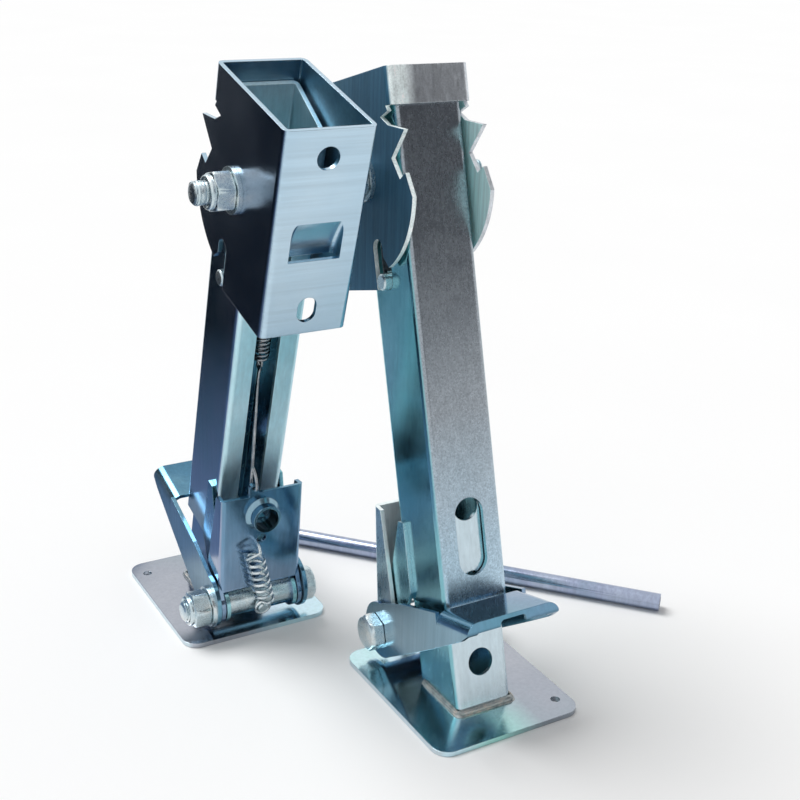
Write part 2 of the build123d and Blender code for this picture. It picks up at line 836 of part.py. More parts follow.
def foot_weld():
    # A fillet weld along the three walls of the inner leg
    slope = cos(radians(lean))
    middle = (inner_front + inner_back) / 2 / slope
    wide, deep = inner_width + 2 * weld_leg, (inner_front - inner_back) / slope + 2 * weld_leg
    base = RectangleRounded(wide, deep, bend_radius)
    bead = Pos(0, middle, plate_thickness) * extrude(base, weld_leg, taper=45)
    bead = lean_back(bead)
    mouth = inner_front - weld_leg
    bead -= block((-inner_width / 2, inner_width / 2), (inner_back, everything), (-everything, everything))
    return bead - block((-everything, everything), (mouth, everything), (-everything, everything))


def lean_back(part):
    # From the floor's frame into the leg's frame
    return Rot(X=lean) * part


def stand(part):
    # From the leg's frame onto the floor
    return Rot(X=-lean) * part


def lever_bar():
    # A straight tube that lies on the floor beside the jacks
    tube = Cylinder(bar_diameter / 2, bar_length, align=(Align.CENTER, Align.CENTER, Align.MIN))
    tube -= Cylinder(bar_bore_diameter / 2, 4 * bar_length)
    laid = Rot(Z=bar_heading) * Rot(Y=90) * tube
    return Pos(bar_start_x, bar_start_y, bar_diameter / 2) * laid


jack_parts = {
    "bracket": bracket,
    "pivot_bolt": pivot_bolt,
    "pivot_nut": pivot_nut,
    "pivot_washers": pivot_washers,
    "pivot_sleeve": pivot_sleeve,
    "outer_leg": outer_leg,
    "latch_bar": latch_bar,
    "latch_spring": latch_spring,
    "spring_rods": spring_rods,
    "lock_spring": lock_spring,
    "link_wire": link_wire,
    "leg_cheeks": leg_cheeks,
    "axle_bolt": axle_bolt,
    "axle_nut": axle_nut,
    "axle_washer": axle_washer,
    "pedal_tube": pedal_tube,
    "lock_plate": lock_plate,
    "bar_socket": bar_socket,
    "lock_pin": lock_pin,
    "pin_guide": pin_guide,
    "pedal": pedal,
    "pedal_spring": pedal_spring,
    "inner_leg": inner_leg,
    "foot_plate": foot_plate,
    "foot_weld": foot_weld,
}


def build():
    # Both jacks and the bar, moved so that the origin is on the floor under their middle
    nodes = {}
    for name, make in jack_parts.items():
        piece = stand(make())
        nodes["right_" + name] = piece
        nodes["left_" + name] = Pos(pair_spacing_x, pair_spacing_y) * Rot(Z=180) * piece
    nodes["lever_bar"] = lever_bar()
    boxes = [piece.bounding_box() for piece in nodes.values()]
    middle_x = (min(box.min.X for box in boxes) + max(box.max.X for box in boxes)) / 2
    middle_y = (min(box.min.Y for box in boxes) + max(box.max.Y for box in boxes)) / 2
    return {name: Pos(-middle_x, -middle_y) * piece for name, piece in nodes.items()}


def main():
    os.makedirs("parts", exist_ok=True)
    for name, piece in build().items():
        export_step(piece, f"parts/{name}.step")


main()
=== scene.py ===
import math

import bmesh
import bpy
from mathutils import Matrix, Vector


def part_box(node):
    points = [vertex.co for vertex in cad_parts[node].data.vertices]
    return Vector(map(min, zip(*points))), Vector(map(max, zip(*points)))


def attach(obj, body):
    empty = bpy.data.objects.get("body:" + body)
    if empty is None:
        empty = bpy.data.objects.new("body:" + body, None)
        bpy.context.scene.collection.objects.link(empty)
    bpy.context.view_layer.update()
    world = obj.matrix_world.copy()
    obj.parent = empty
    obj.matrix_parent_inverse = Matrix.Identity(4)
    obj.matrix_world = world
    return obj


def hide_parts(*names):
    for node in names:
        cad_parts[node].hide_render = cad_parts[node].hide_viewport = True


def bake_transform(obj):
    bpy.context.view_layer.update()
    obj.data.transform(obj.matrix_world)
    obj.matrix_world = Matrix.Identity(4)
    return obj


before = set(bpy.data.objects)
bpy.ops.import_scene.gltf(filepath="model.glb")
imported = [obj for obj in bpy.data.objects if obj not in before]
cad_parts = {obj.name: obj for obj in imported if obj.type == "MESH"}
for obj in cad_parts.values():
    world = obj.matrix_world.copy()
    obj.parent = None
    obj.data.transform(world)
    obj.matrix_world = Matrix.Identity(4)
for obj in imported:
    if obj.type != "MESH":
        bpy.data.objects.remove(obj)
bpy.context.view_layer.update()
sides = ("left", "right")
millimetre = 0.001


# Each jack has a leg frame in millimetres: Z up the leg, X across it, Y towards the lock plate.
# The left jack is the right one turned by half a turn.
stance = {
    "lean": 15.6,  # degrees
    "turn": {"left": math.pi, "right": 0.0},
    "plateShift": (1.7, 12.3, 0.0),  # from the leg's foot to the middle of its foot plate
}
lean = math.radians(stance["lean"])


def turned(angle, axis):
    return Matrix.Rotation(angle, 4, axis)


def legFrame(side):
    low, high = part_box(side + "_foot_plate")
    upright = turned(stance["turn"][side], "Z")
    foot = (low + high) / 2 - upright @ Vector(stance["plateShift"]) * millimetre
    place = Matrix.Translation((foot.x, foot.y, 0)) @ upright
    return place @ turned(-lean, "X") @ Matrix.Scale(millimetre, 4)


legPlace = {side: legFrame(side) for side in sides}


# camera
view = {
    "place": (-0.4563, -0.7313, 0.51465),
    "heading": 30.65,  # degrees from +Y towards +X
    "down": 21.44,
    "roll": 1.97,
    "lens": 57.6,
    "sensor": 36,
    "nearest": 0.01,
}


def addObject(name, data):
    made = bpy.data.objects.new(name, data)
    bpy.context.scene.collection.objects.link(made)
    return made


def makeCamera():
    data = bpy.data.cameras.new("viewCamera")
    data.lens = view["lens"]
    data.sensor_width = view["sensor"]
    data.clip_start = view["nearest"]
    camera = addObject("viewCamera", data)
    turn = turned(-math.radians(view["heading"]), "Z")
    turn @= turned(math.radians(90 - view["down"]), "X")
    turn @= turned(math.radians(view["roll"]), "Z")
    camera.matrix_world = Matrix.Translation(view["place"]) @ turn
    bpy.context.scene.camera = camera


makeCamera()
print("camera ready")


# node trees

class Wire:
    # a socket that takes part in arithmetic: each operation adds a Math node
    def __init__(self, tree, socket):
        self.tree = tree
        self.socket = socket

    def combine(self, operation, first, second):
        node = self.tree.nodes.new("ShaderNodeMath")
        node.operation = operation
        for slot, value in zip(node.inputs, (first, second)):
            if isinstance(value, Wire):
                self.tree.links.new(value.socket, slot)
            else:
                slot.default_value = value
        return Wire(self.tree, node.outputs[0])

    def __add__(self, other):
        return self.combine("ADD", self, other)

    __radd__ = __add__

    def __sub__(self, other):
        return self.combine("SUBTRACT", self, other)

    def __rsub__(self, other):
        return self.combine("SUBTRACT", other, self)

    def __mul__(self, other):
        return self.combine("MULTIPLY", self, other)

    __rmul__ = __mul__

    def __pow__(self, other):
        return self.combine("POWER", self, other)

    def __rpow__(self, other):
        return self.combine("POWER", other, self)


def opaque(colour):
    return (*colour, 1)


class NodeTree:
    # a tree under construction: every node but the Math nodes comes from one method
    def __init__(self, tree):
        self.tree = tree

    def node(self, kind, settings, values, output=0):
        # settings first, then numbers or links; a list holds several links to one socket
        made = self.tree.nodes.new(kind)
        settings = dict(settings)
        stops = settings.pop("stops", ())
        for key, value in settings.items():
            setattr(made, key, value)
        if stops:
            elements = made.color_ramp.elements
            while len(elements) < len(stops):
                elements.new(0.5)
            for element, (place, colour) in zip(elements, stops):
                element.position = place
                element.color = opaque(colour)
        for key, value in values.items():
            for one in value if isinstance(value, list) else [value]:
                self.fill(made.inputs[key], one)
        if isinstance(output, tuple):
            return [Wire(self.tree, made.outputs[name]) for name in output]
        return Wire(self.tree, made.outputs[output]) if len(made.outputs) else None

    def fill(self, slot, value):
        if isinstance(value, Wire):
            self.tree.links.new(value.socket, slot)
        else:
            slot.default_value = value


class Finish(NodeTree):
    # a material under construction
    mixSockets = {"factor": 0, "first": 6, "second": 7, "result": 2}  # colours of a Mix node
    bevelSamples = 4

    def __init__(self, name):
        self.material = bpy.data.materials.new(name)
        self.material.use_nodes = True
        super().__init__(self.material.node_tree)
        self.tree.nodes.clear()
        surface = self.node("ShaderNodeBsdfPrincipled", {}, {})
        self.node("ShaderNodeOutputMaterial", {}, {"Surface": surface})
        self.shader = surface.socket.node
        kinds = ("Object", "Normal")
        self.position, self.facing = self.node("ShaderNodeTexCoord", {}, {}, kinds)

    def set(self, **values):
        for key, value in values.items():
            self.fill(self.shader.inputs[key.replace("_", " ")], value)

    def part(self, vector, axis):
        return self.node("ShaderNodeSeparateXYZ", {}, {"Vector": vector}, axis)

    def noise(self, scale, detail=3.0, rough=0.55, stretch=None, turn=(0, 0, 0)):
        place = self.position
        if stretch:
            values = {"Vector": place, "Rotation": turn, "Scale": stretch}
            place = self.node("ShaderNodeMapping", {}, values)
        values = {"Vector": place, "Scale": scale, "Detail": detail, "Roughness": rough}
        return self.node("ShaderNodeTexNoise", {}, values, "Fac")

    def ramp(self, factor, stops):
        return self.node("ShaderNodeValToRGB", {"stops": stops}, {"Fac": factor}, "Color")

    def mixColour(self, factor, first, second, **settings):
        slots = self.mixSockets
        values = {slots["factor"]: factor, slots["first"]: first, slots["second"]: second}
        settings["data_type"] = "RGBA"
        return self.node("ShaderNodeMix", settings, values, slots["result"])

    def scaled(self, colour, share):
        # a colour made lighter or darker by a number that varies over the surface
        values = {"Red": share, "Green": share, "Blue": share}
        grey = self.node("ShaderNodeCombineColor", {}, values)
        return self.mixColour(1.0, colour, grey, blend_type="MULTIPLY", clamp_result=True)

    def span(self, value, low, high, toLow=0.0, toHigh=1.0):
        # a value carried from one range to another and kept inside it
        names = ("From Min", "From Max", "To Min", "To Max")
        values = dict(zip(names, (low, high, toLow, toHigh)))
        return self.node("ShaderNodeMapRange", {}, {"Value": value, **values})

    def relief(self, height, distance, strength, rounding=None):
        values = {"Height": height, "Distance": distance, "Strength": strength}
        if rounding:
            settings, radius = {"samples": self.bevelSamples}, {"Radius": rounding}
            values["Normal"] = self.node("ShaderNodeBevel", settings, radius)
        self.set(Normal=self.node("ShaderNodeBump", {}, values))


# plating tints, also used as painted reflection and shade: how far the outer two stand from the
# middle one, then dark, middle and light
tints = {
    "frost": (0.18, (0.84, 0.94, 0.95), (0.92, 0.98, 0.98), (0.97, 0.99, 0.99)),
    "mint": (0.14, (0.68, 0.93, 0.93), (0.78, 0.97, 0.97), (0.90, 0.99, 0.98)),
    "seafoam": (0.14, (0.42, 0.80, 0.74), (0.58, 0.82, 0.86), (0.62, 0.77, 0.90)),
    "aqua": (0.14, (0.46, 0.74, 0.82), (0.62, 0.83, 0.90), (0.76, 0.88, 0.94)),
    "ash": (0.18, (0.56, 0.60, 0.64), (0.68, 0.72, 0.76), (0.84, 0.87, 0.90)),
    "pale": (0.18, (0.50, 0.62, 0.69), (0.57, 0.68, 0.74), (0.64, 0.73, 0.78)),
    "ice": (0.18, (0.38, 0.56, 0.68), (0.45, 0.61, 0.73), (0.54, 0.68, 0.78)),
    "lavender": (0.18, (0.34, 0.41, 0.46), (0.40, 0.43, 0.49), (0.47, 0.49, 0.54)),
    "grey": (0.18, (0.30, 0.34, 0.38), (0.35, 0.39, 0.43), (0.42, 0.46, 0.50)),
    "violet": (0.18, (0.20, 0.36, 0.44), (0.33, 0.38, 0.52), (0.44, 0.50, 0.60)),
    "teal": (0.18, (0.15, 0.38, 0.44), (0.26, 0.54, 0.61), (0.42, 0.70, 0.76)),
    "blue": (0.18, (0.19, 0.33, 0.42), (0.25, 0.39, 0.48), (0.38, 0.50, 0.58)),
    "slate": (0.18, (0.20, 0.28, 0.37), (0.26, 0.33, 0.43), (0.34, 0.41, 0.50)),
    "navy": (0.18, (0.12, 0.30, 0.40), (0.17, 0.30, 0.44), (0.32, 0.40, 0.54)),
    "deepBlue": (0.18, (0.06, 0.18, 0.28), (0.10, 0.24, 0.36), (0.22, 0.42, 0.52)),
}


def tintStops(name):
    spread, *colours = tints[name]
    return list(zip((0.5 - spread, 0.5, 0.5 + spread), colours))


# blue-passivated sheet: what all the sheet pieces share
sheet = {
    "plating": {"scale": 7.0, "detail": 2.0, "rough": 0.5, "stretch": (1.0, 1.0, 0.6)},
    "stains": {"scale": 26.0, "detail": 4.0, "rough": 0.6},
    "streaks": {"scale": 70.0, "detail": 4.0, "rough": 0.6},
    "grain": {"scale": 520.0, "detail": 3.0, "rough": 0.6},
    "spots": {"scale": 780.0, "detail": 2.0, "rough": 0.7},
    "stretch": {"streaks": (5.0, 0.12), "grain": (1.0, 0.3)},  # across and along the drawing
    "platingShare": 0.75,  # the rest of the tint's shift is stains
    "stainShare": 0.5,  # the rest of the dulling is grain
    "grainShare": 0.6,  # the rest of the relief is streaks
    "onFlank": (0.35, 0.65),  # square of the normal's X
    "dull": (0.35, 0.65),
    "streak": (0.3, 0.7),
    "streakLight": 0.6,  # how far a streak lightens, as a share of how far it darkens
    "spot": (0.35, 0.68),
    "spotLight": 0.8,  # the same for a spot
    "foldEdge": 0.0006,
    "depth": 0.00012,
    "rounding": 0.0006,
}
plainSheet = {
    "brush": 0.1, "along": True, "speckle": 0.0, "relief": 0.2, "flankDull": 0.0, "bore": False,
}
leanTurn = {"right": (lean, 0, 0), "left": (-lean, 0, 0)}  # object space to leg space
# painted shade in the socket's bore: where the bore lies, and how dark it goes
socketBore = {"z": 0.117, "radius": 0.0086, "edge": 0.0003, "share": 0.12}


def fromMiddle(made, node, axis):
    # distance along one axis from the middle of a piece
    low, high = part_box(node)
    return made.part(made.position, axis) - getattr((low + high) / 2, axis.lower())


def drawn(pattern, along):
    # stretch of a pattern drawn up the leg, or across it
    across, lengthwise = sheet["stretch"][pattern]
    return (across, across, lengthwise) if along else (lengthwise, across, across)


def shared(first, second, share):
    return first * share + second * (1 - share)


def paintedBoreShade(made, side):
    # painted shade: darkens the socket's bore, which runs along the leg's Y
    toLeg = turned(lean, "X") @ turned(stance["turn"][side], "Z")
    shift = -(toLeg @ legPlace[side].translation)
    values = {"Vector": made.position, "Rotation": toLeg.to_euler(), "Location": shift}
    place = made.node("ShaderNodeMapping", {}, values)
    x, z = made.part(place, "X"), made.part(place, "Z") - socketBore["z"]
    radius = socketBore["radius"]
    edge = radius + socketBore["edge"]
    return made.span((x * x + z * z) ** 0.5, radius, edge, socketBore["share"], 1.0)


def zincSheet(name, look):
    # one tint on the faces and another on the flanks, the flank tint a painted reflection and
    # shade; drawn streaks, fine grain
    look = {**plainSheet, **look}
    side = "left" if name.startswith("left") else "right"
    turn, along = leanTurn[side], look["along"]
    made = Finish(name + "Zinc")
    normalX = made.part(made.facing, "X")
    onFlank = made.span(normalX * normalX, *sheet["onFlank"])
    stains = made.noise(**sheet["stains"])
    plating = made.noise(**sheet["plating"], turn=turn)
    streaks = made.noise(**sheet["streaks"], stretch=drawn("streaks", along), turn=turn)
    grain = made.noise(**sheet["grain"], stretch=drawn("grain", along), turn=turn)
    shift = shared(plating, stains, sheet["platingShare"])
    onFace = made.ramp(shift, tintStops(look["face"]))
    dull = made.span(shared(stains, grain, sheet["stainShare"]), *sheet["dull"], *look["rough"])
    dull = dull + onFlank * look["flankDull"]
    if "zone" in look:
        # another tint on the faces past a place on one axis, counted from the piece's middle
        zone = look["zone"]
        place = fromMiddle(made, side + look["node"], zone["axis"])
        zoned = made.span(place, zone["start"], zone["end"])
        onFace = made.mixColour(zoned, onFace, made.ramp(shift, tintStops(zone["tint"])))
        dull = dull + zoned * zone["dull"]
    # painted reflection and shade: faces turned along X take the flank tint
    colour = made.mixColour(onFlank, onFace, made.ramp(shift, tintStops(look["flank"])))
    if "inner" in look:
        # painted shade and sheen within the fold: its flank faces there take a tint of their own
        inner = look["inner"]
        across = fromMiddle(made, side + look["node"], "X")
        edge = inner["half"] + sheet["foldEdge"]
        inside = made.span(across * across, inner["half"] ** 2, edge ** 2, 1.0, 0.0) * onFlank
        colour = made.mixColour(inside, colour, made.ramp(shift, tintStops(inner["tint"])))
        dull = dull + inside * inner["dull"]
    dark, light = 1 - look["brush"], 1 + look["brush"] * sheet["streakLight"]
    colour = made.scaled(colour, made.span(streaks, *sheet["streak"], dark, light))
    if look["speckle"]:
        dark, light = -look["speckle"], look["speckle"] * sheet["spotLight"]
        spots = made.span(made.noise(**sheet["spots"]), *sheet["spot"], dark, light)
        colour = made.scaled(colour, 1 + spots * (1 - onFlank))
    # painted shade in the socket's bore
    if look["bore"]:
        colour = made.scaled(colour, paintedBoreShade(made, side))
    made.set(Base_Color=colour, Roughness=dull, Metallic=1.0)
    height = shared(grain, streaks, sheet["grainShare"])
    made.relief(height, sheet["depth"], look["relief"], sheet["rounding"])
    return made.material


# the face and flank tints, and the different tints given to the left and right copies of one part,
# are partly plating colour and partly painted reflection and shade
sheetLooks = {
    "leftBracket": {
        "node": "_bracket", "face": "ice", "flank": "slate", "rough": (0.16, 0.26), "along": False,
        "inner": {"tint": "deepBlue", "half": 0.0288, "dull": 0.2},
    },
    "rightBracket": {
        "node": "_bracket", "face": "ash", "flank": "deepBlue", "rough": (0.3, 0.42),
        "brush": 0.22, "speckle": 0.12,
        "inner": {"tint": "mint", "half": 0.0288, "dull": 0.3},
        # painted highlight: a whiter, duller tint on the band's left end by the fold
        "zone": {"axis": "X", "tint": "frost", "start": -0.010, "end": -0.018, "dull": 0.28},
    },
    "leftLeg": {
        "node": "_outer_leg", "face": "aqua", "flank": "violet", "rough": (0.38, 0.5),
        "flankDull": -0.24,
        "inner": {"tint": "aqua", "half": 0.0234, "dull": 0.2},
    },
    "rightLeg": {
        "node": "_outer_leg", "face": "grey", "flank": "teal", "rough": (0.22, 0.32),
        "brush": 0.08, "speckle": 0.22, "flankDull": -0.08,
        "zone": {"axis": "Z", "tint": "ice", "start": -0.03, "end": -0.15, "dull": 0.0},
    },
    "leftInnerLeg": {"face": "teal", "flank": "navy", "rough": (0.16, 0.3)},
    "rightInnerLeg": {"face": "pale", "flank": "teal", "rough": (0.16, 0.3)},
    "leftLockPlate": {"face": "navy", "flank": "violet", "rough": (0.1, 0.18), "brush": 0.15},
    "rightLockPlate": {
        "face": "frost", "flank": "pale", "rough": (0.45, 0.6), "brush": 0.12, "flankDull": -0.25,
    },
    "leftSocket": {"face": "blue", "flank": "blue", "rough": (0.1, 0.18), "bore": True},
    "rightSocket": {"face": "blue", "flank": "blue", "rough": (0.1, 0.18), "bore": True},
    "leftPedal": {
        "face": "deepBlue", "flank": "blue", "rough": (0.1, 0.2), "brush": 0.12, "flankDull": 0.2,
    },
    "rightPedal": {
        "face": "navy", "flank": "blue", "rough": (0.08, 0.16), "brush": 0.12, "flankDull": 0.06,
    },
    "leftFootPlate": {
        "node": "_foot_plate", "face": "lavender", "flank": "pale", "rough": (0.14, 0.24),
        "brush": 0.06, "relief": 0.05,
        "zone": {"axis": "X", "tint": "seafoam", "start": -0.015, "end": 0.02, "dull": 0.0},
    },
    "rightFootPlate": {
        "node": "_foot_plate", "face": "lavender", "flank": "pale", "rough": (0.14, 0.24),
        "brush": 0.06, "relief": 0.05,
        "zone": {"axis": "X", "tint": "seafoam", "start": 0.025, "end": -0.01, "dull": -0.03},
    },
    "rightLeverBar": {"face": "violet", "flank": "violet", "rough": (0.12, 0.24), "brush": 0.15},
}


# small parts: clouded tint, grain that dulls it, fine bumps; noise is scale, detail, roughness
metalGrain = (0.3, 0.7)
metalLooks = {
    "boltZinc": {
        "clouds": (60.0,), "grain": (900.0,), "bumps": (900.0,),
        "tint": ((0.3, (0.44, 0.56, 0.60)), (0.52, (0.60, 0.70, 0.74)), (0.72, (0.78, 0.80, 0.78))),
        "metallic": 1.0, "rough": (0.2, 0.42), "relief": (0.0001, 0.18, 0.0005),
    },
    "springWire": {
        "clouds": (120.0,), "grain": (800.0,), "bumps": (1200.0,),
        "tint": ((0.3, (0.42, 0.50, 0.54)), (0.7, (0.82, 0.87, 0.88))),
        "metallic": 1.0, "rough": (0.18, 0.36), "relief": (0.00005, 0.3),
    },
    # a darker copy of the spring wire, for the link wire and lock spring
    "drawnWire": {
        "clouds": (120.0,), "grain": (800.0,), "bumps": (1200.0,),
        "tint": ((0.3, (0.16, 0.18, 0.20)), (0.7, (0.42, 0.44, 0.46))),
        "metallic": 1.0, "rough": (0.18, 0.36), "relief": (0.00005, 0.3),
    },
    "weldBead": {
        "clouds": (220.0, 4.0, 0.65), "grain": (600.0,), "bumps": (900.0, 4.0),
        "tint": ((0.3, (0.22, 0.24, 0.24)), (0.5, (0.42, 0.45, 0.45)), (0.7, (0.60, 0.54, 0.48))),
        "metallic": 0.8, "rough": (0.3, 0.6), "relief": (0.0002, 0.6),
    },
}


def smallMetal(name, look):
    made = Finish(name)
    colour = made.ramp(made.noise(*look["clouds"]), look["tint"])
    dull = made.span(made.noise(*look["grain"]), *metalGrain, *look["rough"])
    made.set(Base_Color=colour, Roughness=dull, Metallic=look["metallic"])
    made.relief(made.noise(*look["bumps"]), *look["relief"])
    return made.material


finishes = {name: smallMetal(name, look) for name, look in metalLooks.items()}
finishes.update({name: zincSheet(name, look) for name, look in sheetLooks.items()})
sheetNodes = {
    "bracket": "Bracket", "outer_leg": "Leg", "leg_cheeks": "InnerLeg", "inner_leg": "InnerLeg",
    "foot_plate": "FootPlate", "lock_plate": "LockPlate", "bar_socket": "Socket",
    "pedal": "Pedal", "pin_guide": "InnerLeg",
}
metalNodes = {
    "boltZinc": (
        "lock_pin", "latch_bar", "spring_rods", "pivot_bolt", "pivot_nut", "pivot_washers",
        "pivot_sleeve", "axle_bolt", "axle_nut", "axle_washer", "pedal_tube",
    ),
    "drawnWire": ("link_wire", "lock_spring"),
    "springWire": ("latch_spring", "pedal_spring"),
    "weldBead": ("foot_weld",),
}


def dress(piece, finish):
    piece.data.materials.clear()
    piece.data.materials.append(finishes[finish])


for side in sides:
    for name, finish in sheetNodes.items():
        dress(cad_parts[side + "_" + name], side + finish)
    for finish, names in metalNodes.items():
        for name in names:
            dress(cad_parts[side + "_" + name], finish)
dress(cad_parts["lever_bar"], "rightLeverBar")
print("finishes ready")


# shapes that follow a path or repeat
threadFacets = {"turn": 40, "ridge": 4}
ripple = {"segments": 12, "rings": 8, "least": (0.9, 0.85, 0.5), "most": (1.1, 1.15, 0.72)}


class ShapeTree(NodeTree):
    # a Geometry Nodes tree whose inputs are an object's shape, named sizes and a finish
    def __init__(self, name, sizes):
        super().__init__(bpy.data.node_groups.new(name, "GeometryNodeTree"))
        self.identifiers = {}
        self.socket("Shape", "NodeSocketGeometry")
        for key, value in sizes.items():
            kind = "NodeSocketInt" if isinstance(value, int) else "NodeSocketFloat"
            self.socket(key, kind).default_value = value
        self.socket("Finish", "NodeSocketMaterial")
        self.tree.interface.new_socket("Shape", in_out="OUTPUT", socket_type="NodeSocketGeometry")
        names = tuple(self.identifiers)
        self.given = dict(zip(names, self.node("NodeGroupInput", {}, {}, names)))

    def socket(self, name, kind):
        made = self.tree.interface.new_socket(name, in_out="INPUT", socket_type=kind)
        self.identifiers[name] = made.identifier
        return made

    def swept(self, path, profile):
        values = {"Curve": path, "Profile Curve": profile, "Fill Caps": True}
        return self.node("GeometryNodeCurveToMesh", {}, values)

    def close(self, shape):
        shape = self.node("GeometryNodeRealizeInstances", {}, {"Geometry": shape})
        shape = self.node("GeometryNodeSetShadeSmooth", {}, {"Geometry": shape})
        values = {"Geometry": shape, "Material": self.given["Finish"]}
        shape = self.node("GeometryNodeSetMaterial", {}, values)
        self.node("NodeGroupOutput", {}, {"Shape": shape})
        return self


def wireTree():
    # a round wire swept along the object's own curve
    made = ShapeTree("roundWire", {"Radius": 1.0, "Facets": 12})
    circle = made.node("GeometryNodeCurvePrimitiveCircle", {}, {
        "Resolution": made.given["Facets"], "Radius": made.given["Radius"],
    })
    return made.close(made.swept(made.given["Shape"], circle))


def threadTree():
    # a screw thread: a sharp ridge swept along a spiral, joined to the object's own mesh
    made = ShapeTree("screwThread", {"Radius": 8.0, "Length": 10.0, "Turns": 5.0, "Ridge": 0.9})
    spiral = made.node("GeometryNodeCurveSpiral", {}, {
        "Resolution": threadFacets["turn"],
        "Rotations": made.given["Turns"],
        "Start Radius": made.given["Radius"],
        "End Radius": made.given["Radius"],
        "Height": made.given["Length"],
    })
    ridge = made.node("GeometryNodeCurvePrimitiveCircle", {}, {
        "Resolution": threadFacets["ridge"], "Radius": made.given["Ridge"],
    })
    both = [made.swept(spiral, ridge), made.given["Shape"]]
    return made.close(made.node("GeometryNodeJoinGeometry", {}, {"Geometry": both}))


def beadTree():
    # overlapping ripples of a weld laid along the object's own curve
    made = ShapeTree("weldRipples", {"Spacing": 1.6, "Size": 2.6, "Seed": 3})
    values = {"Curve": made.given["Shape"], "Length": made.given["Spacing"]}
    kinds = ("Points", "Rotation")
    points, rotation = made.node("GeometryNodeCurveToPoints", {"mode": "LENGTH"}, values, kinds)
    ball = made.node("GeometryNodeMeshUVSphere", {}, {
        "Segments": ripple["segments"], "Rings": ripple["rings"], "Radius": made.given["Size"],
    })
    size = made.node("FunctionNodeRandomValue", {"data_type": "FLOAT_VECTOR"}, {
        "Min": ripple["least"], "Max": ripple["most"], "Seed": made.given["Seed"],
    })
    laid = made.node("GeometryNodeInstanceOnPoints", {}, {
        "Points": points, "Instance": ball, "Rotation": rotation, "Scale": size,
    })
    return made.close(laid)


trees = {"wire": wireTree(), "thread": threadTree(), "bead": beadTree()}


def grown(source, tree, name, finish, **sizes):
    # the plain mesh that a tree makes of an object, which is then removed
    modifier = source.modifiers.new("shape", "NODES")
    modifier.node_group = tree.tree
    for key, value in {**sizes, "Finish": finishes[finish]}.items():
        modifier[tree.identifiers[key]] = value
    bpy.context.view_layer.update()
    seen = source.evaluated_get(bpy.context.evaluated_depsgraph_get())
    mesh = bpy.data.meshes.new_from_object(seen)
    bpy.data.objects.remove(source)
    mesh.name = name
    return addObject(name, mesh)


def curveObject(points):
    data = bpy.data.curves.new("path", "CURVE")
    data.dimensions = "3D"
    spline = data.splines.new("POLY")
    spline.points.add(len(points) - 1)
    for place, point in zip(spline.points, points):
        place.co = (*point, 1)
    return addObject("path", data)


def settle(piece, side):
    # from the leg frame in millimetres to its place on the floor
    piece.data.transform(legPlace[side])
    piece.data.update()


def standFor(node):
    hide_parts(node)


# springs and wires, in the leg frame
coilSteps = 22  # points per turn
hookSteps = 14
hookSlack = 0.1  # between a hook and the rod inside it
cornerCut = 0.25  # share of a run of wire that is cut from each of its corners
lockSpring = {
    "y": 18.0, "bottom": 231.5, "top": 284.6, "coil": 4.95, "turns": 16.5,
    "wire": 1.8, "facets": 12,
    "rod": {"z": 294.0, "radius": 3.0, "arc": (-70, 250)},
    "tail": {"drop": 4.0, "radius": 3.4, "arc": (250, -60), "open": 2},  # points left out
    "rise": ((1.0, 0.0, 0.5), (0.5, 2.5, 3.0)),  # share of the coil's radius, then Y and Z
    "fall": ((0.5, -2.5, -0.6), (1.0, 0.0, -0.2)),
}
linkWire = {
    "wire": 2.2, "facets": 12,
    "eye": {"drop": 6.6, "radius": 2.9, "arc": (60, 330), "tilt": 0.6},
    "fromCoil": ((0.3, 1.2, -12.0), (0.8, 2.0, -20.0)),
    "lug": (7.0, 45.8, 138.65),
    "fromLug": (
        (-0.6, -7.0, 14.0), (0.0, -5.4, 5.0), (0.0, -4.6, 0.4), (0.0, -2.6, -0.6),
        (0.0, 3.2, -0.3), (0.0, 5.2, 2.6), (0.3, 4.4, 7.5), (1.2, 2.4, 14.0), (3.2, 0.8, 20.0),
    ),
}
latchSpring = {
    "y": 5.0, "coil": 3.8, "turns": 19.0, "wire": 1.4, "facets": 10,
    "bar": {"z": 290.8, "radius": 4.5, "arc": (380, 80), "toCoil": 10.0},
    "rod": {"z": 338.3, "radius": 3.0, "arc": (-80, 230), "toCoil": -7.2},
    "rise": ((0.7, 0.0, 0.8),),
    "fall": ((1.0, 0.0, -0.6),),
}
pedalSpring = {
    "foot": (0.0, 72.2, 51.5), "head": (9.0, 64.6, 89.5), "coil": 6.5, "turns": 6.8,
    "wire": 2.4, "facets": 12,
    "loop": {"stud": (0.0, 70.0, 42.0), "radius": 5.3, "start": 100, "sweep": -300, "pitch": 0.12},
    "catch": (  # from the head
        (-3.0, 2.4, 4.0), (-3.6, -2.0, 7.2), (-4.0, -8.5, 7.6), (-4.0, -12.5, 4.6),
        (-4.0, -13.0, 1.0),
    ),
}


def helix(start, end, size, phase=0.0):
    # points of a coil between two places, its phase counted from +X
    axis = end - start
    across = Vector((1, 0, 0))
    third = axis.normalized().cross(across)
    count = int(size["turns"] * coilSteps)
    points = []
    for step in range(count + 1):
        share = step / count
        angle = phase + share * size["turns"] * 2 * math.pi
        ring = across * math.cos(angle) + third * math.sin(angle)
        points.append(start + axis * share + ring * size["coil"])
    return points


def hook(centre, radius, arc, tilt=0.0):
    # an arc about an axis along X, its angles in degrees from +Y towards +Z
    first, last = arc
    points = []
    for step in range(hookSteps + 1):
        share = step / hookSteps
        angle = math.radians(first + (last - first) * share)
        offset = (tilt * (share - 0.5), radius * math.cos(angle), radius * math.sin(angle))
        points.append(centre + Vector(offset))
    return points


def rodHook(size, rod):
    radius = rod["radius"] + size["wire"] / 2 + hookSlack
    return hook(Vector((0, size["y"], rod["z"])), radius, rod["arc"])


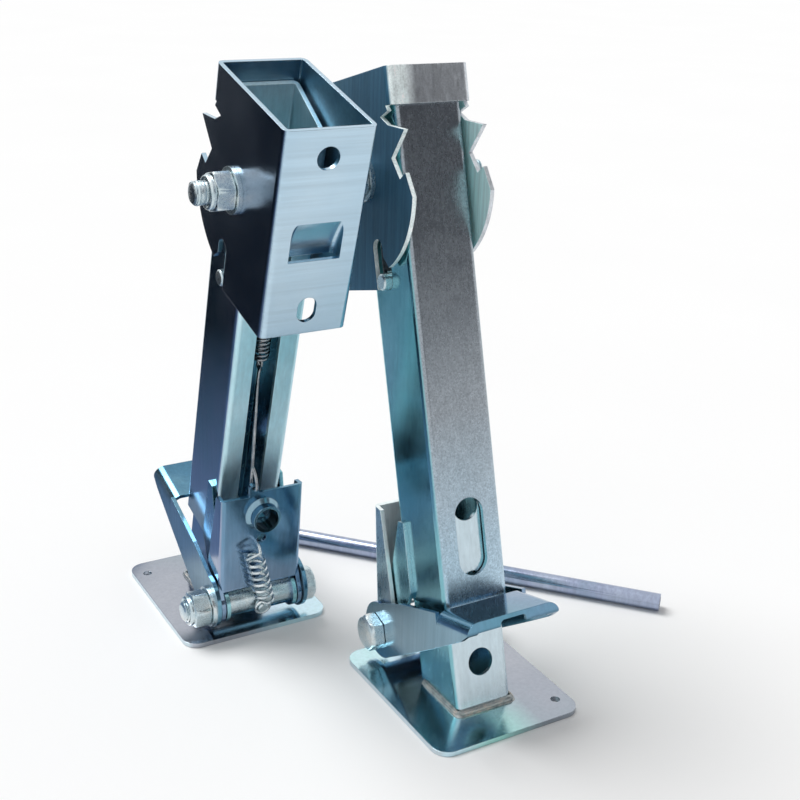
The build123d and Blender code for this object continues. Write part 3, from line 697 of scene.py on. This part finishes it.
def nearCoil(size, z, places):
    # points of the wire between a coil's end and its hook
    coil, y = size["coil"], size["y"]
    return [Vector((coil * share, y + out, z + up)) for share, out, up in places]


def eased(points, rounds):
    # corners of a hand-bent wire rounded off
    for _ in range(rounds):
        cut = [points[0]]
        for one, two in zip(points, points[1:]):
            cut += [one.lerp(two, cornerCut), one.lerp(two, 1 - cornerCut)]
        points = cut + [points[-1]]
    return points


def wirePiece(side, name, points, size, finish):
    sizes = {"Radius": size["wire"] / 2, "Facets": size["facets"]}
    piece = grown(curveObject(points), trees["wire"], side + "_" + name, finish, **sizes)
    settle(piece, side)
    return piece


def makeLockSpring(side):
    size, tail = lockSpring, lockSpring["tail"]
    low, high = (Vector((0, size["y"], size[end])) for end in ("bottom", "top"))
    loop = hook(low - Vector((0, 0, tail["drop"])), tail["radius"], tail["arc"])[tail["open"]:]
    points = eased(loop + nearCoil(size, low.z, size["fall"]), 1) + helix(low, high, size)
    points += eased(nearCoil(size, high.z, size["rise"]) + rodHook(size, size["rod"]), 1)
    piece = wirePiece(side, "lockSpring", points, size, "drawnWire")
    standFor(side + "_lock_spring")
    low, high = legPlace[side] @ low, legPlace[side] @ high
    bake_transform(piece)
    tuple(low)
    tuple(high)


def makeLinkWire(side):
    eye, lug = linkWire["eye"], Vector(linkWire["lug"])
    coilEnd = Vector((0, lockSpring["y"], lockSpring["bottom"]))
    loop = hook(coilEnd - Vector((0, 0, eye["drop"])), eye["radius"], eye["arc"], eye["tilt"])
    run = [coilEnd + Vector(offset) for offset in linkWire["fromCoil"]]
    run += [lug + Vector(offset) for offset in linkWire["fromLug"]]
    piece = wirePiece(side, "linkWire", loop + eased(run, 2), linkWire, "drawnWire")
    standFor(side + "_link_wire")
    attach(piece, side + "_lock_body")


def makeLatchSpring(side):
    size, bar, rod = latchSpring, latchSpring["bar"], latchSpring["rod"]
    low, high = (Vector((0, size["y"], held["z"] + held["toCoil"])) for held in (bar, rod))
    points = eased(rodHook(size, bar) + nearCoil(size, low.z, size["fall"]), 1)
    points += helix(low, high, size)
    points += eased(nearCoil(size, high.z, size["rise"]) + rodHook(size, rod), 1)
    piece = wirePiece(side, "latchSpring", points, size, "springWire")
    standFor(side + "_latch_spring")
    low, high = legPlace[side] @ low, legPlace[side] @ high
    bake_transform(piece)
    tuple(low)
    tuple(high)


def makePedalSpring(side):
    size, loop = pedalSpring, pedalSpring["loop"]
    foot, head, stud = Vector(size["foot"]), Vector(size["head"]), Vector(loop["stud"])
    points = []
    for step in range(hookSteps, 0, -1):
        angle = math.radians(loop["start"] + loop["sweep"] * step / hookSteps)
        reach = Vector((math.cos(angle), 0, math.sin(angle))) * loop["radius"]
        points.append(stud + reach + Vector((0, loop["pitch"] * step, 0)))
    points += helix(foot, head, size, math.pi / 2)
    points += eased([head + Vector(offset) for offset in size["catch"]], 2)
    piece = wirePiece(side, "pedalSpring", points, size, "springWire")
    standFor(side + "_pedal_spring")
    low, high = legPlace[side] @ foot, legPlace[side] @ head
    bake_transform(piece)
    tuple(low)
    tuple(high)


for side in sides:
    makeLockSpring(side)
    makeLinkWire(side)
    makeLatchSpring(side)
    makePedalSpring(side)
print("springs ready")


# bolts and nuts: each pair is a distance along X and what is cut off the flats or corners there
hexagon = {"flats": 24.0, "shank": 16.0, "facets": 96, "crease": 35.0}
boltHead = {
    "height": 10.0,
    "crown": ((0.0, 3.4), (0.35, 2.2), (0.5, 0.9), (1.0, 0.1)),  # below the head's face
    "top": ((2.2, 0.5), (3.0, 0.1)),
    "foot": ((0.7, 0.1), (0.4, 0.5)),  # over the seat
    "land": 0.6,
}
boltThread = {
    "depth": 0.9, "pitch": 2.0, "lead": 1.0, "runOut": 1.6, "fit": 0.02,
    "tip": ((1.2, 0.0), (0.2, 1.2), (0.0, 1.8)),  # from the end, cut off the thread's core
}
lockNut = {
    "height": 16.0, "collar": 3.4, "fit": 0.02, "land": 0.5,
    "foot": ((0.5, 0.9), (1.3, 0.1)),  # over the seat
    "top": ((1.2, 0.1), (0.5, 0.9)),  # below the hexagon's end
    "neck": ((0.0, 0.4), (0.2, 1.0)),
    "dome": {"steps": 6, "base": 1.4, "cut": 2.6, "round": 1.6},
    "lip": (0.4, 3.4),  # below the nut's end
    "mouth": 0.8,
}
boltPlaces = {
    "pivot": {
        "place": (13.2, 358.8), "head": 33.4, "nut": 33.4, "thread": 36.0, "end": 58.4,
        "body": "_bracket_body",
    },
    "axle": {
        "place": (57.0, 42.0), "head": 36.0, "nut": 39.0, "thread": 41.0, "end": 58.0,
        "body": "_leg_body",
    },
}


def ringOf(x, place, reach):
    # a ring round an axis along X, its radius worked out from the angle
    y, z = place
    angles = [2 * math.pi * step / hexagon["facets"] for step in range(hexagon["facets"])]
    spokes = [(reach(angle), angle) for angle in angles]
    return [(x, y + r * math.cos(angle), z + r * math.sin(angle)) for r, angle in spokes]


def roundRing(x, place, radius):
    return ringOf(x, place, lambda angle: radius)


def hexRing(x, place, cut):
    # a ring of the hexagon, its corners cut back
    half, sixth = hexagon["flats"] / 2, math.pi / 3
    limit = half / math.cos(sixth / 2) - cut

    def reach(angle):
        return min(half / math.cos((angle + sixth / 2) % sixth - sixth / 2), limit)

    return ringOf(x, place, reach)


def loft(rings, name, around=False):
    # a skin over rings: capped at both ends, or with its last ring joined to the first
    mesh = bpy.data.meshes.new(name)
    shape = bmesh.new()
    rows = [[shape.verts.new(point) for point in ring] for ring in rings]
    for lower, upper in zip(rows, rows[1:] + rows[:1] if around else rows[1:]):
        nextLower, nextUpper = lower[1:] + lower[:1], upper[1:] + upper[:1]
        for corners in zip(lower, nextLower, nextUpper, upper):
            shape.faces.new(corners)
    if not around:
        shape.faces.new(rows[0][::-1])
        shape.faces.new(rows[-1])
    bmesh.ops.recalc_face_normals(shape, faces=shape.faces)
    for face in shape.faces:
        face.smooth = True
    shape.to_mesh(mesh)
    shape.free()
    piece = addObject(name, mesh)
    dress(piece, "boltZinc")
    return piece


def creased(piece):
    # smooth shading, with creases where the surface turns sharply
    shape = bmesh.new()
    shape.from_mesh(piece.data)
    for edge in shape.edges:
        if len(edge.link_faces) == 2:
            edge.smooth = edge.calc_face_angle() < math.radians(hexagon["crease"])
    shape.to_mesh(piece.data)
    shape.free()


def fastened(piece, side, node, body):
    settle(piece, side)
    creased(piece)
    standFor(node)
    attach(piece, body)


def makeBolt(side, name, size):
    half, shank, place = hexagon["flats"] / 2, hexagon["shank"] / 2, size["place"]
    seat, thread, end = -size["head"], size["thread"], size["end"]
    face, core = seat - boltHead["height"], shank - boltThread["depth"]
    rings = [roundRing(face + depth, place, half - cut) for depth, cut in boltHead["crown"]]
    rings += [hexRing(face + depth, place, cut) for depth, cut in boltHead["top"]]
    rings += [hexRing(seat - height, place, cut) for height, cut in boltHead["foot"]]
    rings += [roundRing(seat, place, half - boltHead["land"]), roundRing(seat, place, shank)]
    rings += [roundRing(thread - boltThread["lead"], place, shank), roundRing(thread, place, core)]
    rings += [roundRing(end - back, place, core - cut) for back, cut in boltThread["tip"]]
    blank = loft(rings, "boltBlank")
    upright = Matrix.Translation((thread, *place)) @ turned(math.pi / 2, "Y")
    blank.data.transform(upright.inverted())
    length = end - boltThread["runOut"] - thread
    sizes = {
        "Radius": core - boltThread["fit"], "Length": length,
        "Turns": length / boltThread["pitch"], "Ridge": boltThread["depth"],
    }
    piece = grown(blank, trees["thread"], side + "_" + name + "Bolt", "boltZinc", **sizes)
    piece.data.transform(upright)
    fastened(piece, side, side + "_" + name + "_bolt", side + size["body"])


def makeNut(side, name, size):
    half, place, seat = hexagon["flats"] / 2, size["place"], size["nut"]
    bore, end = hexagon["shank"] / 2 + lockNut["fit"], seat + lockNut["height"]
    hexEnd, dome = end - lockNut["collar"], lockNut["dome"]
    rings = [roundRing(seat, place, bore), roundRing(seat, place, half - lockNut["land"])]
    rings += [hexRing(seat + height, place, cut) for height, cut in lockNut["foot"]]
    rings += [hexRing(hexEnd - depth, place, cut) for depth, cut in lockNut["top"]]
    rings += [roundRing(hexEnd + height, place, half - cut) for height, cut in lockNut["neck"]]
    for step in range(dome["steps"] + 1):
        turn = math.pi / 2 * step / dome["steps"]
        x = hexEnd + dome["base"] + (lockNut["collar"] - dome["base"]) * math.sin(turn)
        radius = half - dome["cut"] + dome["round"] * math.cos(turn)
        rings.append(roundRing(x, place, radius))
    depth, cut = lockNut["lip"]
    rings += [roundRing(end - depth, place, half - cut)]
    rings += [roundRing(end - lockNut["mouth"], place, bore)]
    piece = loft(rings, side + "_" + name + "Nut", around=True)
    fastened(piece, side, side + "_" + name + "_nut", side + size["body"])


for side in sides:
    for name, size in boltPlaces.items():
        makeBolt(side, name, size)
        makeNut(side, name, size)
print("bolts ready")


# weld round the foot of the inner leg
weld = {
    "half": 21.5, "back": -22.5, "front": 19.0, "corner": 5.0, "cornerSteps": 6, "plate": 3.5,
    "out": 1.3, "size": 1.2, "spacing": 0.95, "seed": {"left": 3, "right": 8},
}


def makeWeld(side):
    slope, out, corner = math.cos(lean), weld["out"], weld["corner"]
    half, back, front = weld["half"] + out, (weld["back"] - out) / slope, weld["front"] / slope
    points = [Vector((-half, front, 0)), Vector((-half, back + corner, 0))]
    for step in range(1, weld["cornerSteps"] + 1):
        turn = math.pi / 2 * step / weld["cornerSteps"]
        x, y = corner * (1 - math.cos(turn)) - half, corner * (1 - math.sin(turn)) + back
        points.append(Vector((x, y, 0)))
    points += [Vector((-point.x, point.y, 0)) for point in reversed(points)]
    lift = turned(lean, "X") @ Matrix.Translation((0, 0, weld["plate"] + out))
    path = curveObject([lift @ point for point in points])
    sizes = {"Spacing": weld["spacing"], "Size": weld["size"], "Seed": weld["seed"][side]}
    piece = grown(path, trees["bead"], side + "_weldBead", "weldBead", **sizes)
    settle(piece, side)
    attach(piece, side + "_foot_body")


for side in sides:
    makeWeld(side)
print("welds ready")


# floor and light
floor = {"width": 60.0, "z": -0.0002, "white": (0.97, 0.97, 0.97)}
light = {
    "soft": 0.46,
    "seen": 1.0,
    "sun": {"aim": (0.4, -0.6, -1.2), "strength": 2.05, "spread": 34},
}
card = {"paper": (3.0, 2.0), "stops": (0.3, 0.7), "lighter": 1.01, "rise": (0.02, 0.15)}
flags = {  # dark cards beside the set that only mirror-like metal sees
    "backFlag": {
        "corners": ((-1.0, -0.35, 0.0), (-0.12, 0.2, 0.0), (-0.55, 1.0, 0.95), (-1.5, 0.45, 0.95)),
        "colour": (0.012, 0.02, 0.035),
        "low": (0.34, 0.48, 0.72),
    },
    "frontFlag": {
        "corners": ((-0.1, -1.55, 0.42), (1.2, -0.8, 0.42), (1.2, -0.8, 1.9), (-0.1, -1.55, 1.9)),
        "colour": (0.14, 0.14, 0.15),
    },
}


def matt(name, colour, low=None):
    # paper of one colour, or one that turns to another near the floor
    made = Finish(name)
    lighter = tuple(min(1, share * card["lighter"]) for share in colour)
    stops = list(zip(card["stops"], (colour, lighter)))
    shade = made.ramp(made.noise(*card["paper"]), stops)
    if low:
        height = made.part(made.position, "Z")
        shade = made.mixColour(made.span(height, *card["rise"]), opaque(low), shade)
    made.set(Base_Color=shade, Roughness=1.0, Metallic=0.0, Specular_IOR_Level=0.0)
    return made.material


def stagePlane(name, corners, material):
    mesh = bpy.data.meshes.new(name)
    mesh.from_pydata(corners, [], [(0, 1, 2, 3)])
    mesh.materials.append(material)
    plane = addObject(name, mesh)
    return plane


def makeFloor():
    half, z = floor["width"] / 2, floor["z"]
    corners = [(-half, -half, z), (half, -half, z), (half, half, z), (-half, half, z)]
    stagePlane("floor", corners, matt("floorWhite", floor["white"]))


def makeFlag(name, size):
    flag = stagePlane(name, size["corners"], matt(name, size["colour"], size.get("low")))
    flag.visible_camera = False
    flag.visible_diffuse = False
    flag.visible_shadow = False


def makeWorld():
    # white to the camera and to mirrors, and a weaker white as the light
    world = bpy.data.worlds.new("studio")
    world.use_nodes = True
    world.node_tree.nodes.clear()
    made = NodeTree(world.node_tree)
    rays = ("Is Camera Ray", "Is Glossy Ray", "Is Transmission Ray")
    camera, glossy, through = made.node("ShaderNodeLightPath", {}, {}, rays)
    white = opaque((1, 1, 1))
    lit = made.node("ShaderNodeBackground", {}, {"Color": white, "Strength": light["soft"]})
    seen = made.node("ShaderNodeBackground", {}, {"Color": white, "Strength": light["seen"]})
    values = {"Fac": camera + glossy + through, 1: lit, 2: seen}
    mixed = made.node("ShaderNodeMixShader", {}, values)
    made.node("ShaderNodeOutputWorld", {}, {"Surface": mixed})
    bpy.context.scene.world = world


def makeSun():
    sun = light["sun"]
    data = bpy.data.lights.new("softSun", "SUN")
    data.energy = sun["strength"]
    data.angle = math.radians(sun["spread"])
    lamp = addObject("softSun", data)
    lamp.matrix_world = Vector(sun["aim"]).to_track_quat("-Z", "Y").to_matrix().to_4x4()


makeFloor()
makeWorld()
makeSun()
for name, size in flags.items():
    makeFlag(name, size)
print("stage ready")

scene = bpy.context.scene
scene.view_settings.view_transform = "Standard"
